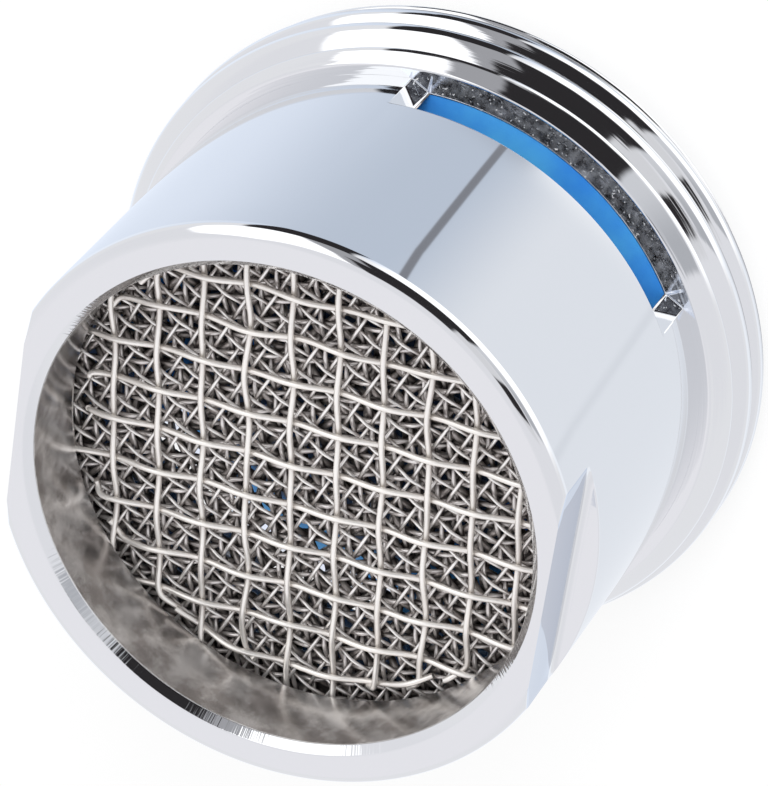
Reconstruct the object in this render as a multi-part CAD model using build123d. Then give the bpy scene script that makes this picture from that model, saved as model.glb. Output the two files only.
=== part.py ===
from build123d import *
import math
import os

# Tap aerator with a male M24 x 1 thread, standing on its inlet end with the outlet upwards.
# The axis of the part is Z, and Z = 0 is the sealing face of the washer.

# Housing: turned brass, all radii follow from the thread.
thread_diameter = 23.8
collar_step = 1.5          # thread crest to body, radial
shoulder_width = 0.4       # flat under the collar, before the lead-in cone
end_chamfer = 0.5          # at the inlet end of the thread
seat_web = 0.9             # collar left between the insert's seat and the shoulder
housing_height = 15.5
body_wall = 0.45           # wall of the mixing chamber
lip_width = 1.5            # ring of the outlet rim
lip_depth = 3.2            # recess in front of the outlet screen
rim_break_width = 0.4      # outer edge of the rim
rim_break_height = 0.25
bore_chamfer = 0.3         # inner edge of the rim
seat_step = 0.45           # ledge that carries the insert's flange

# Air slots and wrench flats.
slot_height = 2.0
slot_depth = 1.9           # from the body's surface to the flat floor
slot_count = 2
flat_depth = 0.9
flat_height = 2.4
flat_corner = 0.25         # corner radius left by the cutter
flat_turn = -64.0          # degrees from the first air slot
flat_count = 2

# Wire cloth: pitch and wire of the outlet screen and of the finer screens behind it.
# The finer cloth and the strainer have a mesh of 0.69 mm and are drawn with every fifth wire.
outlet_pitch = 1.63
outlet_wire = 0.2
outlet_shift_a = 0.96      # the disc is punched off the centre of a mesh
outlet_shift_b = 0.3
fine_pitch = 3.45
fine_wire = 0.15
fine_screen_count = 4
strainer_pitch = 3.45
strainer_wire = 0.15
cloth_turn = 32.0          # wires of the outlet screen and of the strainer, degrees from X
screen_turn = 45.0         # each finer screen against the one before it
weave_sink = 0.2           # share of a wire by which crossing wires press into each other

# Insert, ring and washer.
flange_thickness = 0.8
jet_plate = 1.0
jet_set_back = 0.05        # underside of the jet disc below the shoulder
jet_rim = 1.1              # solid rim round the pocket of the jet disc
jet_length = 1.6           # moulded slits, along the radius
jet_width = 0.5
jet_count = 16
jet_inset = 1.8            # middle of the slits inside the pocket's wall
ring_height = 1.0
ring_width = 0.75
washer_thickness = 2.1
washer_width = 2.5
washer_proud = 0.6         # washer beyond the housing's inlet end
slide_clearance = 0.05     # insert and washer in their bores, radial
screen_clearance = 0.1
ring_clearance = 0.02

# Radii.
thread_r = thread_diameter / 2
body_r = thread_r - collar_step
shoulder_r = body_r + shoulder_width
lead_in = thread_r - shoulder_r
outlet_r = body_r - lip_width
chamber_r = body_r - body_wall
seat_r = chamber_r + seat_step

# Heights, from the washer's face upwards.
strainer_thickness = strainer_wire * (2 - weave_sink)
flange_low = washer_thickness + strainer_thickness
seat_z = flange_low + flange_thickness
inlet_z = washer_proud
shoulder_z = seat_z + seat_web
rim_z = inlet_z + housing_height
ledge_z = rim_z - lip_depth


def turned(*points):
    """Solid of revolution about Z of a closed outline of (radius, height) points."""
    outline = Polyline(*points, close=True)
    return revolve(Plane.XZ * make_face(outline), Axis.Z)


def housing():
    blank = turned(
        (seat_r, inlet_z),
        (thread_r - end_chamfer, inlet_z),
        (thread_r, inlet_z + end_chamfer),
        (thread_r, shoulder_z - lead_in),
        (shoulder_r, shoulder_z),
        (body_r, shoulder_z),
        (body_r, rim_z - rim_break_height),
        (body_r - rim_break_width, rim_z),
        (outlet_r + bore_chamfer, rim_z),
        (outlet_r, rim_z - bore_chamfer),
        (outlet_r, ledge_z),
        (chamber_r, ledge_z),
        (chamber_r, seat_z),
        (seat_r, seat_z),
    )
    # Saw cut square to the axis, just above the shoulder, with a flat floor.
    slot_floor = body_r - slot_depth
    slot = Pos(slot_floor, 0, shoulder_z) * Box(
        thread_r, 2 * thread_r, slot_height, align=(Align.MIN, Align.CENTER, Align.MIN)
    )
    # Wrench flat with a square ledge at its foot and the cutter's corner radius.
    flat = Box(thread_r, 2 * thread_r, 2 * flat_height, align=(Align.MIN, Align.CENTER, Align.MIN))
    foot = flat.edges().filter_by(Axis.Y).sort_by(Axis.X)[:2].sort_by(Axis.Z)[0]
    flat = Pos(body_r - flat_depth, 0, rim_z - flat_height) * fillet(foot, flat_corner)
    for i in range(slot_count):
        blank -= Rot(0, 0, 360 / slot_count * i) * slot
    for i in range(flat_count):
        blank -= Rot(0, 0, flat_turn + 360 / flat_count * i) * flat
    return blank


def wire_cloth(radius, pitch, wire, shift_a=0.0, shift_b=0.0):
    """Disc of crossing wires on Z = 0, the upper set pressed a little into the lower one."""

    def one_set(shift, turn, low):
        first = math.ceil((-radius - shift) / pitch)
        last = math.floor((radius - shift) / pitch)
        bars = []
        for k in range(first, last + 1):
            offset = shift + k * pitch
            edge = abs(offset) + wire / 2
            length = 2 * math.sqrt(max(radius**2 - edge**2, 0))
            if length > pitch + wire:
                bar = Box(length, wire, wire, align=(Align.CENTER, Align.CENTER, Align.MIN))
                bars.append(Rot(0, 0, turn) * Pos(0, offset, low) * bar)
        return bars

    wires = one_set(shift_a, 0, 0) + one_set(shift_b, 90, wire * (1 - weave_sink))
    return wires[0].fuse(*wires[1:])


def jet_disc():
    top_z = shoulder_z - jet_set_back
    body_radius = chamber_r - slide_clearance
    pocket_r = body_radius - jet_rim
    disc = turned(
        (0, top_z - jet_plate),
        (pocket_r, top_z - jet_plate),
        (pocket_r, flange_low),
        (seat_r - slide_clearance, flange_low),
        (seat_r - slide_clearance, seat_z),
        (body_radius, seat_z),
        (body_radius, top_z),
        (0, top_z),
    )
    jet = Box(jet_length, jet_width, 4 * jet_plate)
    for place in PolarLocations(pocket_r - jet_inset, jet_count):
        disc -= Pos(0, 0, top_z) * place * jet
    return disc


def flat_ring(outer, inner, low, height):
    ring = Cylinder(outer, height) - Cylinder(inner, height)
    return Pos(0, 0, low + height / 2) * ring


pieces = {"housing": housing(), "jet_disc": jet_disc()}

# Screens hang in a stack under the outlet lip, each finer disc turned against the last.
screen_r = chamber_r - screen_clearance
stack_z = ledge_z - outlet_wire * (2 - weave_sink)
outlet_cloth = wire_cloth(screen_r, outlet_pitch, outlet_wire, outlet_shift_a, outlet_shift_b)
pieces["outlet_screen"] = Pos(0, 0, stack_z) * Rot(0, 0, cloth_turn) * outlet_cloth
fine_cloth = wire_cloth(screen_r, fine_pitch, fine_wire)
for i in range(fine_screen_count):
    stack_z -= fine_wire * (2 - weave_sink)
    turn = cloth_turn + screen_turn * (i + 1)
    pieces[f"fine_screen_{i + 1}"] = Pos(0, 0, stack_z) * Rot(0, 0, turn) * fine_cloth
ring_r = chamber_r - ring_clearance
pieces["screen_ring"] = flat_ring(ring_r, ring_r - ring_width, stack_z - ring_height, ring_height)

# Strainer and washer fill the inlet recess below the jet disc.
inlet_fit_r = seat_r - slide_clearance
strainer = wire_cloth(inlet_fit_r, strainer_pitch, strainer_wire)
pieces["inlet_strainer"] = Pos(0, 0, washer_thickness) * Rot(0, 0, cloth_turn) * strainer
pieces["sealing_washer"] = flat_ring(inlet_fit_r, inlet_fit_r - washer_width, 0, washer_thickness)

os.makedirs("parts", exist_ok=True)
for name, piece in pieces.items():
    export_step(piece, f"parts/{name}.step")
    print(name, round(piece.volume, 2), "mm3")
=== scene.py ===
import math

import bpy
import numpy as np
from mathutils import Matrix, Vector


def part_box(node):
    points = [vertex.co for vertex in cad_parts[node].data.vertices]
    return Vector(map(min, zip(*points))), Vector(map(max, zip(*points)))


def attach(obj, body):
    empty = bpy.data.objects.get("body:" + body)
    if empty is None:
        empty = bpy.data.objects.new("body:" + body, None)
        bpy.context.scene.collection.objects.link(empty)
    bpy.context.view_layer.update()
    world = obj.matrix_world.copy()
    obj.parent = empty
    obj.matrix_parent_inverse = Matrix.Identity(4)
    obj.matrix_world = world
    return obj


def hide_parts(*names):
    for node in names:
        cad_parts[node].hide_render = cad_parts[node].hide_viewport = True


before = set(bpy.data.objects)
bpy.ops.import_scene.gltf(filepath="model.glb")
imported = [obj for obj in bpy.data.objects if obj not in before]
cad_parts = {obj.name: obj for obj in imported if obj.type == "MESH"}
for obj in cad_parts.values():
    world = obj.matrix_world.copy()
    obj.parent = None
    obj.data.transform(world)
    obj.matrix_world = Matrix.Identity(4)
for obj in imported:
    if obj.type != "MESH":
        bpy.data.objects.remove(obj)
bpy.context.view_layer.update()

# Housing: the one-piece body, turned from brass bar and chrome plated.
# The collar carries the male spout thread, two saw cuts below it let air in,
# and two flats are milled at the outlet rim for a spanner.
mm = 0.001
housing_low, housing_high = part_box("housing")
inlet_z = housing_low.z / mm
rim_z = housing_high.z / mm
crest_r = housing_high.x / mm
collar_step, collar_height = 1.5, 3.47
shoulder_width = 0.4
lip_width, lip_depth = 1.5, 3.2
body_wall = 0.45
seat_web = 0.9                         # collar between the insert's seat and the shoulder
slot_height, slot_depth = 2.0, 1.9
flat_height, flat_depth = 2.4, 0.9
flat_corner = 0.25                     # radius that the cutter leaves
flat_turn = math.radians(-64)
rim_break_width, rim_break_height = 0.4, 0.25
bore_chamfer = 0.3
body_r = crest_r - collar_step
shoulder_r = body_r + shoulder_width
outlet_r = body_r - lip_width
chamber_r = body_r - body_wall
seat_r = body_r
ledge_z = rim_z - lip_depth
shoulder_z = inlet_z + collar_height
slot_top_z = shoulder_z + slot_height
slot_floor = body_r - slot_depth
flat_distance = body_r - flat_depth
flat_foot_z = rim_z - flat_height
rim_break_r, rim_break_z = body_r - rim_break_width, rim_z - rim_break_height
pitch = 1.18                           # crest to crest
crest_flat = 0.35
crest_z = shoulder_z - 1.3             # height of a crest at angle zero
crest_nose = 0.03                      # rounding in the middle of a crest
crest_round = 0.16                     # and where it turns into its flanks
end_chamfer = 0.5
cone_end_z = shoulder_z - 0.12         # the thread's rows end just below the shoulder
shoulder_ease = 0.1
edge_ease = 0.06                       # plating rounds every outer edge
rim_ease = 0.2                         # and the rim is buffed round
tolerance = 1e-6


def weld_quads(points, quads, weld=2e-4):
    """Joins points that round to the same step of the weld.

    A quad that loses one side becomes a triangle, and one that loses more is dropped.
    """
    keys = np.round(points / weld).astype(np.int64)
    _, first, index = np.unique(keys, axis=0, return_index=True, return_inverse=True)
    quads = index.reshape(-1)[quads]
    same = quads == np.roll(quads, -1, axis=1)
    lost = same.sum(1)
    whole = quads[lost == 0]
    whole = whole[(whole[:, 0] != whole[:, 2]) & (whole[:, 1] != whole[:, 3])]
    worn = quads[lost == 1]
    gap = same[lost == 1].argmax(1)
    order = (gap[:, None] + np.arange(1, 4)) % 4
    worn = np.take_along_axis(worn, order, axis=1)
    worn = worn[(worn != np.roll(worn, -1, axis=1)).all(1)]
    return points[first], whole.tolist() + worn.tolist()


def grid_quads(rows, columns):
    """Quads between neighbouring rows and columns of a grid, row after row."""
    corner = np.arange(rows * columns).reshape(rows, columns)
    sides = corner[:-1, :-1], corner[:-1, 1:], corner[1:, 1:], corner[1:, :-1]
    return np.stack(sides, -1)


def new_piece(name, points, faces, sharp_angle=30):
    """Mesh object from points in millimetres.

    It is smooth apart from edges that turn by more than the angle.
    """
    mesh = bpy.data.meshes.new(name)
    mesh.from_pydata((points * mm).tolist(), [], faces)
    mesh.polygons.foreach_set("use_smooth", np.ones(len(mesh.polygons), bool))
    mesh.set_sharp_from_angle(angle=math.radians(sharp_angle))
    mesh.update()
    piece = bpy.data.objects.new(name, mesh)
    bpy.context.scene.collection.objects.link(piece)
    return piece


def eased(corners, eases, steps=9, most=0.45):
    """Open outline whose corners become quadratic curves that leave each corner by its ease.

    Corners are (corner, column, 2) radii and heights, and eases are (corner, column). A curve
    starts that far before its corner and ends that far after it, or at the most share of a side
    that is short.
    """
    sides = np.diff(corners, axis=0)
    none = np.zeros_like(corners[:1])
    before = np.concatenate([none, -sides])
    after = np.concatenate([sides, none])

    def reach(side):
        length = np.linalg.norm(side, axis=-1, keepdims=True)
        return side / np.maximum(length, 1e-9) * np.minimum(eases[..., None], most * length)

    t = np.linspace(0, 1, steps)[None, :, None, None]
    corner = corners[:, None]
    start = corner + reach(before)[:, None]
    end = corner + reach(after)[:, None]
    curve = (1 - t) ** 2 * start + 2 * t * (1 - t) * corner + t**2 * end
    return curve.reshape(-1, *corners.shape[1:])


def lathe_points(outline, angles):
    """Points of an outline of radii and heights, carried round the axis through the angles."""
    radius, height = outline[..., 0], outline[..., 1]
    points = np.stack([radius * np.cos(angles), radius * np.sin(angles), height], -1)
    return points.reshape(-1, 3)


slot_edge = math.acos(slot_floor / body_r)
slot_through = math.acos(slot_floor / chamber_r)
flat_edge = math.acos(flat_distance / body_r)
flat_rim_edge = math.acos(flat_distance / rim_break_r)
cuts = [
    turn + half + side * edge
    for turn, edges in ((0, (slot_edge, slot_through)), (flat_turn, (flat_edge, flat_rim_edge)))
    for half in (0, math.pi) for side in (-1, 1) for edge in edges
]
cuts = (np.array(cuts) + math.pi) % (2 * math.pi) - math.pi
whole_turn = np.linspace(-math.pi, math.pi, 361)
angles = np.unique(np.round(np.concatenate([whole_turn, cuts]), 9))
columns = len(angles)


def thread_rows():
    """Collar surface: rows follow the helix, so each keeps its place on the thread's profile.

    The radius is the lesser of a 60 degree thread and the blank's own outline, which is an end
    chamfer, the full diameter and a lead-in cone down to the shoulder. A crest turns into its
    flanks by a hyperbola, and the lesser of two radii is blended by one too.
    """
    steps = 40                         # rows to a pitch
    pitches_below, pitches_above = 4, 5
    rows = np.arange(-pitches_below * steps, pitches_above * steps)[:, None]
    lead = rows / steps * pitch + crest_z
    height = np.clip(lead + pitch * angles / (2 * math.pi), inlet_z, cone_end_z)
    chamfer_z = inlet_z + end_chamfer
    cone_z = shoulder_z - (crest_r - shoulder_r)
    phase = (height - crest_z) / pitch - angles / (2 * math.pi)
    from_crest = np.abs(phase - np.round(phase)) * pitch
    flank_slope = math.sqrt(3)
    flank = (np.sqrt(from_crest**2 + crest_nose**2) - crest_flat / 2) * flank_slope
    top = (crest_nose - crest_flat / 2) * flank_slope
    round_flank = np.sqrt(flank**2 + crest_round**2)
    round_top = math.sqrt(top**2 + crest_round**2)
    depth = 0.5 * (flank - top + round_flank - round_top)

    def blended(first, second, soft=0.22):
        return 0.5 * (first + second - np.sqrt((first - second) ** 2 + soft**2))

    blank = np.minimum(crest_r, crest_r - (chamfer_z - height))
    blank = blended(blank, crest_r - (height - cone_z))
    return np.stack([blended(crest_r - depth, blank), height], -1)


def housing_corners(cone_end):
    """Outline above the thread at every angle, from the end of its cone.

    It runs over the shoulder, air slot, body, wrench flat and rim, and down the bore, chamber and
    seat. A flat at distance d from the axis has the radius d / cos(angle), and the turned radius
    holds where it is less.
    """
    least_cosine = 1e-3
    slot = slot_floor / np.maximum(np.abs(np.cos(angles)), least_cosine)
    foot = np.clip(slot, chamber_r, body_r)
    spread = np.maximum(np.abs(np.cos(angles - flat_turn)), least_cosine)
    flat = flat_distance / spread
    break_share = np.clip((body_r - flat) / (body_r - rim_break_r), 0, 1)
    ring = np.ones(columns)
    walled = (foot > chamber_r + tolerance) & (foot < body_r - tolerance)
    rows = [
        (cone_end[:, 0], cone_end[:, 1], 0),
        (shoulder_r * ring, shoulder_z, shoulder_ease),
        (foot, shoulder_z, edge_ease * walled),
        (foot, slot_top_z, 0),
        (body_r * ring, slot_top_z, edge_ease),
        (body_r * ring, flat_foot_z, edge_ease),
    ]
    for bend in np.linspace(0, math.pi / 2, 6):
        distance = flat_distance + flat_corner * (1 - math.sin(bend))
        height = flat_foot_z + flat_corner * (1 - math.cos(bend))
        rows.append((np.minimum(body_r, distance / spread), height, 0))
    break_top_z = rim_break_z + break_share * (rim_z - rim_break_z)
    rows += [
        (np.minimum(body_r, flat), break_top_z, rim_ease),
        (np.minimum(rim_break_r, flat), rim_z, rim_ease),
        ((outlet_r + bore_chamfer) * ring, rim_z, edge_ease),
        (outlet_r * ring, rim_z - bore_chamfer, edge_ease),
        (outlet_r * ring, ledge_z, edge_ease),
        (chamber_r * ring, ledge_z, 0),
        (chamber_r * ring, slot_top_z, 0),
        (chamber_r * ring, shoulder_z, 0),
        (chamber_r * ring, shoulder_z - seat_web, 0),
        (seat_r * ring, shoulder_z - seat_web, 0),
        (seat_r * ring, inlet_z, 0),
    ]
    corners = np.stack([np.stack([radius, height * ring], -1) for radius, height, _ in rows])
    return corners, np.stack([ease * ring for _, _, ease in rows])


thread = thread_rows()
corners, eases = housing_corners(thread[-1])
outline = np.concatenate([corners[-1:], thread, eased(corners, eases)])
points = lathe_points(outline, angles)
quads = grid_quads(len(outline), columns)
middle = (angles[1:] + angles[:-1]) / 2
open_columns = np.abs(np.cos(middle)) > math.cos(slot_through)
row_z = outline[..., 1].mean(1)
row_low, row_high = np.minimum(row_z[1:], row_z[:-1]), np.maximum(row_z[1:], row_z[:-1])
in_slot = (row_low > shoulder_z - tolerance) & (row_high < slot_top_z + tolerance)
slot_rows = in_slot & (row_high > row_low)
kept = ~(slot_rows[:, None] & open_columns[None, :])
housing = new_piece("housing_chromed", *weld_quads(points, quads[kept]))


class Shade:
    """One socket of a node tree. Sums, differences and products of values add Math nodes."""

    def __init__(self, tree, socket=None):
        self.tree = tree
        self.socket = socket

    def node(self, kind, settings, inputs, out=0):
        """Adds a node of that type: its settings first, then its sockets' values or links.

        The output that is given back has that number or name.
        """
        made = self.tree.nodes.new(kind)
        for name, value in settings.items():
            setattr(made, name, value)
        for key, value in inputs.items():
            if isinstance(value, Shade):
                self.tree.links.new(value.socket, made.inputs[key])
            else:
                made.inputs[key].default_value = value
        return Shade(self.tree, made.outputs[out] if made.outputs else None)

    def math(self, operation, *values):
        """Math node of that operation on the values."""
        return self.node("ShaderNodeMath", {"operation": operation}, dict(enumerate(values)))

    def axis(self, number):
        """One part of this vector: 0, 1 and 2 are X, Y and Z."""
        return self.node("ShaderNodeSeparateXYZ", {}, {"Vector": self}, out=number)

    def noise(self, scale, detail, rough=0.5):
        """Noise over this place, from 0 to 1."""
        inputs = {"Vector": self, "Scale": scale, "Detail": detail, "Roughness": rough}
        return self.node("ShaderNodeTexNoise", {}, inputs)

    def step(self, low, high):
        """0 below low, 1 above high and a smooth rise between them."""
        limits = {"Value": self, "From Min": low, "From Max": high}
        return self.node("ShaderNodeMapRange", {"interpolation_type": "SMOOTHSTEP"}, limits)

    def mix(self, first, second):
        """Colour between two others, by this share of the second."""
        # A Mix node's sockets share their names, and these numbers are those for colours.
        colours = {"Factor": self, 6: first, 7: second}
        return self.node("ShaderNodeMix", {"data_type": "RGBA"}, colours, out=2)

    def __add__(self, other):
        return self.math("ADD", self, other)

    def __sub__(self, other):
        return self.math("SUBTRACT", self, other)

    def __rsub__(self, other):
        return self.math("SUBTRACT", other, self)

    def __mul__(self, other):
        return self.math("MULTIPLY", self, other)

    __radd__ = __add__
    __rmul__ = __mul__


def new_finish(name):
    """Material with a Principled shader, the start of its node maths, and Object coordinates."""
    finish = bpy.data.materials.new(name)
    finish.use_nodes = True
    shade = Shade(finish.node_tree)
    place = shade.node("ShaderNodeTexCoord", {}, {}, out="Object")
    return finish, shade, finish.node_tree.nodes["Principled BSDF"], place


def feed(shade, shader, **links):
    """Links values to a shader's sockets, named with _ for a space."""
    for name, value in links.items():
        shade.tree.links.new(value.socket, shader.inputs[name.replace("_", " ")])


def chrome_plate():
    """Bright plate outside, and thin, dull plate with warm grey stains in bore and chamber."""
    finish, shade, shader, place = new_finish("chrome_plate")
    x, y, z = map(place.axis, range(3))
    radius = shade.math("SQRT", x * x + y * y)
    angle = shade.math("ARCTAN2", y, x)
    margin, slot_margin = 0.02, 0.05

    def between(value, low, high, soft=margin):
        """1 where a place lies between two limits in millimetres."""
        rise = value.step((low - soft) * mm, low * mm)
        return rise * (1 - value.step(high * mm, (high + soft) * mm))

    bore = between(z, ledge_z, rim_z - bore_chamfer - margin)
    bore = bore * between(radius, 0, outlet_r + 3 * margin)
    chamber = between(radius, 0, chamber_r + margin) * between(z, inlet_z, ledge_z + margin)
    inside = shade.math("MAXIMUM", bore, chamber)
    blotch = place.noise(650, 6, rough=0.65)
    plate, stain, stain_pale = (0.78, 0.79, 0.81, 1), (0.5, 0.47, 0.455, 1), (0.88, 0.86, 0.85, 1)
    colour = inside.mix(plate, blotch.step(0.4, 0.64).mix(stain, stain_pale))

    # Inside the air slots the shoulder is a little duller, and a veil of dust lies on it.
    # Its matt white specks are painted glints.
    slot_side = shade.math("ABSOLUTE", x)
    slot_side = slot_side.step((slot_floor - slot_margin) * mm, (slot_floor + slot_margin) * mm)
    shoulder = between(z, shoulder_z - slot_margin, shoulder_z + margin / 2) * slot_side
    shoulder = shoulder * between(radius, chamber_r - slot_margin, shoulder_r - shoulder_ease)
    glint_specks, veil = place.noise(9000, 2), place.noise(4000, 4)
    # Matt white specks as painted glints, with a thin veil of real dust.
    dust_and_glints = shoulder * (glint_specks.step(0.62, 0.74) * 0.8 + veil.step(0.3, 0.75) * 0.16)
    colour = shoulder.mix(colour, (0.8, 0.86, 0.97, 1))

    # The milled wrench flats are greyer than the turned body.
    from_middle = shade.math("ABSOLUTE", x * math.cos(flat_turn) + y * math.sin(flat_turn))
    flat = between(from_middle, flat_distance - margin / 2, flat_distance + margin / 2)
    flat = flat * between(z, flat_foot_z + flat_corner, rim_z - margin)
    colour = flat.mix(colour, (0.6, 0.65, 0.74, 1))
    # The dust veil and the painted glint specks, in matt white.
    colour = dust_and_glints.mix(colour, (0.9, 0.9, 0.9, 1))

    # The lathe leaves fine rings on the collar, and chatter marks on the chamfer of the bore.
    ring_scale, ring_turns = 9000, 3
    ring_inputs = {0: radius * ring_scale, 1: z * ring_scale, 2: angle * ring_turns}
    rings = shade.node("ShaderNodeCombineXYZ", {}, ring_inputs).noise(1, 2)
    mark_turns, mark_scale = 90, 300
    mark_inputs = {0: angle * mark_turns, 1: radius * mark_scale}
    marks = shade.node("ShaderNodeCombineXYZ", {}, mark_inputs).noise(1, 2)
    collar = between(radius, body_r + margin, crest_r)
    chamfer = between(radius, outlet_r + margin, outlet_r + bore_chamfer - margin)
    chamfer = chamfer * between(z, rim_z - bore_chamfer, rim_z)
    ring_depth, mark_depth, stain_depth = 4e-6, 8e-6, 2e-5
    height = rings * collar * ring_depth + marks * chamfer * mark_depth
    height = height + blotch * inside * stain_depth
    bump = shade.node("ShaderNodeBump", {}, {"Strength": 1, "Distance": 1, "Height": height})

    haze = place.noise(90, 3)
    dull = 0.035 + 0.02 * haze + inside * (0.08 + 0.18 * blotch) + shoulder * 0.07
    metal = 1 - dust_and_glints - 0.2 * inside * blotch
    feed(shade, shader, Base_Color=colour, Roughness=dull, Metallic=metal, Normal=bump)
    return finish


housing.data.materials.append(chrome_plate())
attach(housing, "root")
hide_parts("housing")

# Outlet screen: a disc of coarse plain-woven stainless wire, punched from wire cloth.
# It lies under the outlet lip, and the finer discs press it there.
# Some of its cut ends are bent along the wall.
screen_clearance = 0.1
screen_r = chamber_r - screen_clearance
outlet_wire = 0.215
outlet_mid = ledge_z - outlet_wire
outlet_pitches, outlet_shifts = (1.631, 1.588), (0.92, -0.23)
outlet_turns = math.radians(32.9), math.radians(121.1)
# Painted light: a lighter colour for the crowns of the weave and painted shade for the wire below.
outlet_lit_crown, outlet_shaded_low = (0.97, 0.94, 0.9, 1), (0.62, 0.56, 0.52, 1)


def woven_wires(
    radius, pitches, shifts, turns, wire, middle, sides, rings, stray, seed, flip=1, bent=0
):
    """Two sets of round wires that pass over and under each other.

    A wire is a circle carried along its line. Its height is a cosine with a half wave from
    crossing to crossing, whose sign changes from wire to wire. A bow and a slow sine move it
    sideways by about the stray. The share of the ends that is bent runs on past the outlet's
    wall, and is held back to just inside it by a soft limit.
    """
    sway_waves = 1.3                   # radians to a millimetre
    curl_length, curl_soft = 1.3, 0.15
    curl_gap = 0.05, 0.4               # least and most that a bent end lies inside the wall
    least_reach = 0.7                  # of a mesh: shorter wires are left out
    least_rings = 8
    draw = np.random.default_rng(seed)
    round_wire = np.arange(sides + 1) * 2 * math.pi / sides
    cosine, sine = np.cos(round_wire)[:, None], np.sin(round_wire)[:, None]
    all_points, all_quads, count = [], [], 0
    for this, other in ((0, 1), (1, 0)):
        along = np.array([math.cos(turns[this]), math.sin(turns[this])])
        across = np.array([-along[1], along[0]]) * (1 if this == 0 else -1)
        first = math.ceil((-radius - shifts[this]) / pitches[this])
        last = math.floor((radius - shifts[this]) / pitches[this])
        for number in range(first, last + 1):
            offset = shifts[this] + number * pitches[this] + draw.normal(0, stray * 0.5)
            bow, sway = draw.normal(0, stray, 2)
            start = draw.uniform(0, 2 * math.pi)
            curled = draw.random(2) < bent
            edge = np.where(curled, outlet_r - draw.uniform(*curl_gap, 2), radius)
            reach = (edge + curl_length * curled) ** 2 - (abs(offset) + wire / 2) ** 2
            if reach.min() <= (least_reach * pitches[other]) ** 2:
                continue
            low, high = -math.sqrt(reach[0]), math.sqrt(reach[1])
            ring_count = max(int(round((high - low) / pitches[other] * rings)), least_rings)
            s = np.linspace(low, high, ring_count)
            lift = flip * (1 if (number + this) % 2 == 0 else -1)
            wave = np.cos(np.pi * (s - shifts[other]) / pitches[other])
            height = middle + lift * 0.5 * wire * wave
            side = offset + bow * (s / radius) ** 2 + sway * np.sin(s * sway_waves + start)
            from_axis = np.hypot(s, side)
            limit = np.where(s < 0, *edge) - wire / 2
            past = curl_soft * np.logaddexp(0, (from_axis - limit) / curl_soft)
            held = from_axis - past * np.where(s < 0, *curled)
            plan = (s[:, None] * along + side[:, None] * across).T * held / from_axis
            path = np.stack([*plan, height], -1)
            forward = np.gradient(path, axis=0)
            forward /= np.linalg.norm(forward, axis=1)[:, None]
            level = np.stack([-forward[:, 1], forward[:, 0], np.zeros(len(s))], -1)
            level /= np.linalg.norm(level, axis=1)[:, None]
            upright = np.cross(forward, level)
            tube = path[:, None] + 0.5 * wire * (level[:, None] * cosine + upright[:, None] * sine)
            ends = [np.repeat(end[:, None], sides + 1, 1) for end in (path[:1], path[-1:])]
            tube = np.concatenate([ends[0], tube, ends[1]])
            all_points.append(tube.reshape(-1, 3))
            all_quads.append(grid_quads(len(tube), sides + 1).reshape(-1, 4) + count)
            count += tube.shape[0] * tube.shape[1]
    return weld_quads(np.concatenate(all_points), np.concatenate(all_quads))


def drawn_wire(name, lit_crown, dull, middle, wire, shaded_depth=0.9):
    """Drawn stainless wire, painted lighter on the weave's crowns and with painted shade below
    them.

    The painted shade is whole at that many wires below the middle of the cloth.
    """
    finish, shade, shader, place = new_finish(name)
    height = place.axis(2)
    patch = place.noise(900, 3)
    # Painted light by height: the crowns take a painted highlight and the wire below them painted
    # shade, and the share is mottled at random.
    painted_lit_share = height.step((middle - shaded_depth * wire) * mm, (middle + 0.5 * wire) * mm)
    worn = painted_lit_share * (0.75 + 0.5 * patch)
    feed(shade, shader, Base_Color=worn.mix(dull, lit_crown), Roughness=0.24 + 0.16 * patch)
    shader.inputs["Metallic"].default_value = 0.8
    return finish


outlet_cloth = woven_wires(
    screen_r, outlet_pitches, outlet_shifts, outlet_turns, outlet_wire, outlet_mid,
    sides=12, rings=10, stray=0.03, seed=3, flip=-1, bent=0.4,
)
outlet_screen = new_piece("outlet_screen_woven", *outlet_cloth, sharp_angle=50)
outlet_steel = drawn_wire("coarse_wire", outlet_lit_crown, outlet_shaded_low, outlet_mid, outlet_wire)
outlet_screen.data.materials.append(outlet_steel)
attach(outlet_screen, "root")
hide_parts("outlet_screen")

# Finer screens: four discs of thinner wire cloth, stacked below the outlet screen.
# Each is laid in turned against the last, so that the stream is broken up evenly.
# A row gives a disc's turn, pitches, shifts, wire, and its colours: a painted highlight on the
# crowns and painted shade below them. Deeper discs are painted darker, as painted shade.
fine_pitches = 0.69, 0.69
# Painted shade: the deeper discs' colours are darker because they lie deep in the stack.
deep_shaded_crown, deep_shaded_low = (0.5, 0.46, 0.44, 1), (0.14, 0.12, 0.11, 1)
fine_layers = (
    (3.4, (0.714, 0.693), (0.084, -0.303), 0.13, (1, 0.98, 0.96, 1), (0.46, 0.42, 0.4, 1)),
    (41, fine_pitches, (0.1, 0.25), 0.18, (0.85, 0.81, 0.79, 1), (0.15, 0.13, 0.125, 1)),
    (79, fine_pitches, (0.2, 0.1), 0.26, deep_shaded_crown, deep_shaded_low),
    (117, fine_pitches, (0.05, 0.2), 0.26, deep_shaded_crown, deep_shaded_low),
)
for number, (turn, pitches, shifts, fine_wire, lit_crown, dull) in enumerate(fine_layers, start=1):
    node = f"fine_screen_{number}"
    low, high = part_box(node)
    fine_mid = (low.z + high.z) / 2 / mm
    cloth = woven_wires(
        screen_r, pitches, shifts, (math.radians(turn), math.radians(turn + 90)),
        fine_wire, fine_mid, sides=6, rings=5, stray=0.02, seed=10 + number,
    )
    screen = new_piece(f"{node}_woven", *cloth, sharp_angle=70)
    fine_steel = drawn_wire(f"{node}_wire", lit_crown, dull, fine_mid, fine_wire, shaded_depth=0.1)
    screen.data.materials.append(fine_steel)
    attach(screen, "root")
    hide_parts(node)

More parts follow.
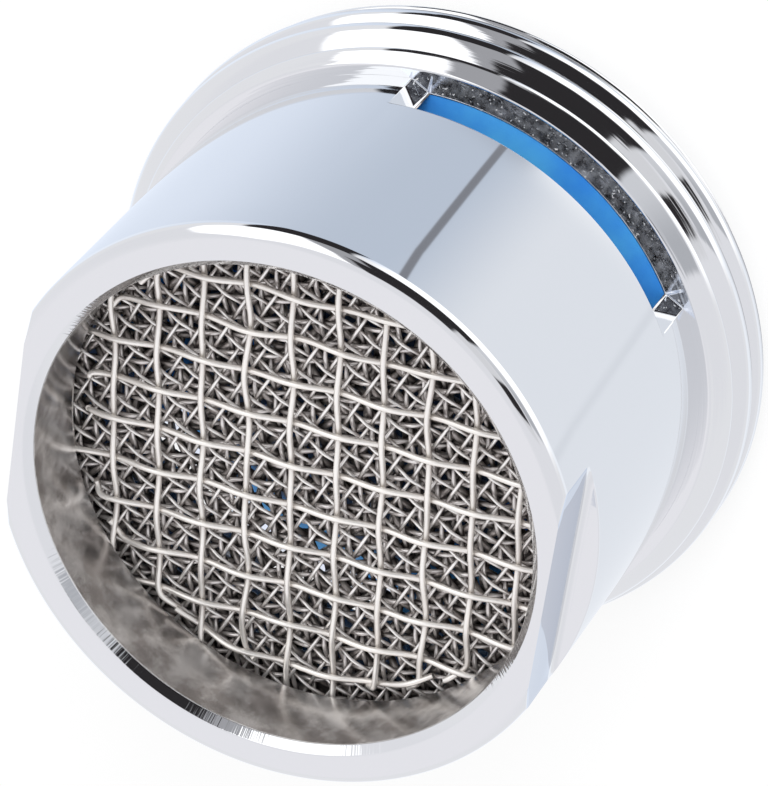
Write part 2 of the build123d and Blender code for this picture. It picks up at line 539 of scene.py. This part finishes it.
# Screen ring: a strip of stainless steel rolled to a ring.
# It is pressed into the chamber and keeps the screens against the outlet lip.
ring_clearance, ring_width = 0.02, 0.75
ring_inner_r = chamber_r - (ring_clearance + ring_width)
ring_ease = 0.08


def turned_ring(name, node, inner_r, ease):
    """Rectangular section with rounded corners, carried round the axis to the node's own box."""
    low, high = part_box(node)
    outer = high.x / mm
    bottom, top = low.z / mm, high.z / mm
    inner_mid = (inner_r, (bottom + top) / 2)
    section = [
        inner_mid, (inner_r, bottom), (outer, bottom),
        (outer, top), (inner_r, top), inner_mid,
    ]
    section = np.repeat(np.array(section)[:, None], len(whole_turn), 1)
    eases = np.array([0, ease, ease, ease, ease, 0])[:, None] * np.ones(len(whole_turn))
    rows = eased(section, eases)
    quads = grid_quads(len(rows), len(whole_turn)).reshape(-1, 4)
    return new_piece(name, *weld_quads(lathe_points(rows, whole_turn), quads))


def rolled_strip():
    """Cold-rolled strip with fine lines along its length."""
    finish, shade, shader, place = new_finish("rolled_strip")
    lines = shade.node("ShaderNodeMapping", {}, {"Vector": place, "Scale": (1, 1, 40)})
    grain = lines.noise(500, 3)
    steel = grain.mix((0.52, 0.51, 0.5, 1), (0.66, 0.65, 0.64, 1))
    feed(shade, shader, Base_Color=steel, Roughness=0.22 + 0.15 * grain)
    shader.inputs["Metallic"].default_value = 1
    return finish


screen_ring = turned_ring("screen_ring_rolled", "screen_ring", ring_inner_r, ring_ease)
screen_ring.data.materials.append(rolled_strip())
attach(screen_ring, "root")
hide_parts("screen_ring")

# Jet disc: the blue acetal insert, moulded in one shot with a ring of slits.
# Its flange drops on the seat inside the collar, and it shows through the air slots.


def blue_acetal():
    """Glossy moulded acetal with faint flow marks, and painted shade on top inside a ragged
    radius.
    """
    finish, shade, shader, place = new_finish("blue_acetal")
    flow = place.noise(260, 4)
    blue = flow.step(0.3, 0.7).mix((0.04, 0.28, 0.92, 1), (0.1, 0.5, 1, 1))
    x, y, z = map(place.axis, range(3))
    radius = shade.math("SQRT", x * x + y * y)
    # Painted shade: inside this ragged radius the disc's top is dark navy, as the closed chamber
    # is in shade.
    painted_shade_r, painted_shade_end_r, painted_shade_stray = 8.9, 9.3, 0.6
    painted_shade_low, painted_shade_high = shoulder_z - 0.2, shoulder_z - 0.1
    on_top = z.step(painted_shade_low * mm, painted_shade_high * mm)
    rim = (radius + painted_shade_stray * mm * flow).step(painted_shade_r * mm, painted_shade_end_r * mm)
    colour = ((1 - rim) * on_top).mix(blue, (0.035, 0.08, 0.18, 1))
    feed(shade, shader, Base_Color=colour, Roughness=0.28 + 0.14 * flow)
    return finish


jet_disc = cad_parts["jet_disc"]
jet_disc.data.materials.clear()
jet_disc.data.materials.append(blue_acetal())

# Inlet strainer: a disc of fine stainless cloth that keeps grit out of the jets.
# It lies loose between the jet disc and the washer.
seat_clearance = 0.05
strainer_wire = 0.13
strainer_low, strainer_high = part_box("inlet_strainer")
strainer_mid = (strainer_low.z + strainer_high.z) / 2 / mm
strainer_turns = math.radians(32), math.radians(122)
# Painted light: a lighter colour for the strainer's crowns and painted shade for the wire below.
strainer_lit_crown, strainer_shaded_low = (0.8, 0.77, 0.74, 1), (0.6, 0.57, 0.54, 1)
strainer_cloth = woven_wires(
    seat_r - seat_clearance, fine_pitches, (0.1, 0.2), strainer_turns,
    strainer_wire, strainer_mid, sides=6, rings=4, stray=0.01, seed=30,
)
strainer = new_piece("inlet_strainer_woven", *strainer_cloth, sharp_angle=70)
strainer_steel = drawn_wire(
    "strainer_wire", strainer_lit_crown, strainer_shaded_low, strainer_mid, strainer_wire
)
strainer.data.materials.append(strainer_steel)
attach(strainer, "root")
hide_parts("inlet_strainer")

# Sealing washer: a flat ring cut from black rubber sheet.
# It stands proud of the collar's end and is squeezed against the spout.
washer_width = 2.5
washer_inner_r = seat_r - (seat_clearance + washer_width)
washer_ease = 0.15


def black_rubber():
    """Matt rubber with a fine sheet grain and a little bloom."""
    finish, shade, shader, place = new_finish("black_rubber")
    grain, bloom = place.noise(2500, 3), place.noise(180, 4)
    colour = bloom.step(0.4, 0.75).mix((0.018, 0.018, 0.019, 1), (0.045, 0.045, 0.047, 1))
    grain_depth = {"Strength": 0.25, "Distance": 0.03 * mm, "Height": grain}
    bump = shade.node("ShaderNodeBump", {}, grain_depth)
    feed(shade, shader, Base_Color=colour, Roughness=0.55 + 0.25 * bloom, Normal=bump)
    return finish


washer = turned_ring("sealing_washer_cut", "sealing_washer", washer_inner_r, washer_ease)
washer.data.materials.append(black_rubber())
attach(washer, "root")
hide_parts("sealing_washer")

# Studio: a pale floor, a white tent of soft light all round, and the camera.
# The tent has cards and a dark gap towards the camera, which the polished collar mirrors.


def pale_floor():
    """White card, lit evenly for the camera, that still takes part of the soft shadow.

    From below it is clear, so that other views can look up at the part.
    """
    card = bpy.data.materials.new("pale_card")
    card.use_nodes = True
    card.node_tree.nodes.clear()
    shade = Shade(card.node_tree)
    matt = shade.node("ShaderNodeBsdfDiffuse", {}, {"Color": (0.95, 0.95, 0.95, 1)})
    glow = shade.node("ShaderNodeEmission", {}, {"Color": (1, 1, 1, 1), "Strength": 1})
    seen = shade.node("ShaderNodeLightPath", {}, {}, out="Is Camera Ray")
    even_share = 0.75
    lit = shade.node("ShaderNodeMixShader", {}, {0: seen * even_share, 1: matt, 2: glow})
    clear = shade.node("ShaderNodeBsdfTransparent", {}, {})
    behind = shade.node("ShaderNodeNewGeometry", {}, {}, out="Backfacing")
    both = shade.node("ShaderNodeMixShader", {}, {0: behind, 1: lit, 2: clear})
    shade.node("ShaderNodeOutputMaterial", {}, {"Surface": both})
    return card


floor_half = 1.5
floor_mesh = bpy.data.meshes.new("floor")
floor_corners = [(-floor_half, -floor_half, 0), (floor_half, -floor_half, 0),
                 (floor_half, floor_half, 0), (-floor_half, floor_half, 0)]
floor_mesh.from_pydata(floor_corners, [], [(0, 1, 2, 3)])
floor = bpy.data.objects.new("floor", floor_mesh)
bpy.context.scene.collection.objects.link(floor)
floor.data.materials.append(pale_floor())
floor.visible_glossy = False


def light_tent():
    """World light by direction: azimuth from +X and elevation, in degrees, with soft cards."""
    world = bpy.data.worlds.new("light_tent")
    world.use_nodes = True
    world.node_tree.nodes.clear()
    shade = Shade(world.node_tree)
    way = shade.node("ShaderNodeTexCoord", {}, {}, out="Generated")
    x, y, z = map(way.axis, range(3))
    azimuth = shade.math("ARCTAN2", y, x) * math.degrees(1)
    elevation = shade.math("ARCSINE", z) * math.degrees(1)

    def card(left, right, low, high, soft=3):
        """1 inside a patch of directions, 0 outside it."""
        wide = azimuth.step(left, left + soft) * (1 - azimuth.step(right - soft, right))
        tall = elevation.step(low, low + soft) * (1 - elevation.step(high - soft, high))
        return wide * tall

    def away(near, far):
        """Rises from 0 to 1 where a direction turns away from the front, to both sides."""
        return (azimuth * azimuth).step(near**2, far**2)

    white, dark = (1.5, 1.5, 1.5, 1), (0.03, 0.028, 0.03, 1)

    # Below the horizon the floor's light is bluer on one side.
    # A faint upright strip and a dark slanted one cross it.
    below = azimuth.step(-15, 30).mix((0.9, 0.93, 0.98, 1), (0.6, 0.67, 0.78, 1))
    below = azimuth.step(45, 120).mix(below, (0.84, 0.91, 1.03, 1))
    below = card(-70.5, -62.5, -75, -35, soft=4).mix(below, (0.83, 0.86, 0.91, 1))
    slant = azimuth + 0.74 * elevation
    strip = slant.step(-20.2, -19.4) * (1 - slant.step(-16.8, -16))
    below = strip.mix(below, (0.26, 0.27, 0.3, 1))

    # Straight below it is white in front and at the back, and dark to one side.
    bright_floor = (1.3, 1.3, 1.3, 1)
    under = card(-75, 22, -120, 0, soft=20).mix((0.5, 0.5, 0.53, 1), bright_floor)
    under = card(8, 100, -120, 0, soft=15).mix(under, (0.3, 0.31, 0.33, 1))
    under = away(140, 150).mix(under, bright_floor)
    light = elevation.step(-62, -59.5).mix(under, below)

    # A bright band stands along the horizon, brightest in front, with a dark gap to one side.
    band = azimuth.step(-15, 30).mix((1.04, 1.07, 1.12, 1), (0.76, 0.84, 0.98, 1))
    band = azimuth.step(45, 120).mix(band, (0.98, 1.04, 1.13, 1))
    band = elevation.step(-28, -18).mix(band, (0.94, 0.94, 0.96, 1))
    band = card(-60, 34, -60, 30, soft=20).mix(band, white)
    band = card(30, 66, -60, 16).mix(band, dark)
    light = elevation.step(-50, -47).mix(light, band)
    tent = away(100, 150).mix((0.9, 0.9, 0.93, 1), (0.98, 0.97, 1, 1))
    light = elevation.step(8, 18).mix(light, tent)

    # Cards in front, above the horizon: grey, white and a dark gap where the camera stands.
    grey_card = azimuth.step(-40, -18).mix((0.52, 0.53, 0.56, 1), (0.74, 0.75, 0.78, 1))
    light = card(-50, -6, 18, 48).mix(light, grey_card)
    light = card(-60, 4, 48, 68).mix(light, (0.8, 0.8, 0.82, 1))
    light = card(-53, -33, 50, 66).mix(light, dark)
    light = card(26, 48, 10, 66).mix(light, (0.42, 0.42, 0.44, 1))
    light = card(-15, 32, 14, 56).mix(light, dark)
    light = card(-9, 42, 47, 68).mix(light, dark)
    lean = azimuth - 0.43 * elevation
    light = (card(46, 110, 8, 66) * (1 - lean.step(71.5, 74.5))).mix(light, white)

    # Matt surfaces take the plain light of the tent, and only mirrors see its cards.
    mirrored = shade.node("ShaderNodeLightPath", {}, {}, out="Is Glossy Ray")
    light = mirrored.mix((1, 1, 1, 1), light)
    glow = shade.node("ShaderNodeBackground", {}, {"Color": light, "Strength": 1})
    shade.node("ShaderNodeOutputWorld", {}, {"Surface": glow})
    return world


bpy.context.scene.world = light_tent()

# A soft lamp in front shines into the air slot and on the screens.
lamp_distance = 0.18
lamp_way = Vector((0.75, 0.2, 0.63)).normalized()
lamp_data = bpy.data.lights.new("front_lamp", "AREA")
lamp_data.shape, lamp_data.size, lamp_data.energy = "DISK", 0.09, 0.16
lamp = bpy.data.objects.new("front_lamp", lamp_data)
lamp.location = lamp_way * lamp_distance
lamp.rotation_euler = lamp_way.to_track_quat("Z", "Y").to_euler()
lamp.visible_glossy = False
bpy.context.scene.collection.objects.link(lamp)

# Camera: looks down on the outlet at about 53 degrees.
# It is rolled so that the axis leans to the lower left.
camera_place = (97.007, -0.148, 137.747)
camera_right = (0.51964, -0.76220, -0.38604)
camera_up = (0.61184, 0.64734, -0.45453)
camera_back = (0.59634, 0.0, 0.80273)
focal_px, image_height = 4761.3, 786
lens = bpy.data.cameras.new("camera")
lens.sensor_width = 36
lens.lens = focal_px / image_height * lens.sensor_width
lens.clip_start = 0.01
camera = bpy.data.objects.new("camera", lens)
camera.matrix_world = Matrix([
    (*row, place * mm)
    for *row, place in zip(camera_right, camera_up, camera_back, camera_place)
] + [(0, 0, 0, 1)])
bpy.context.scene.collection.objects.link(camera)
bpy.context.scene.camera = camera
bpy.context.scene.view_settings.view_transform = "Standard"
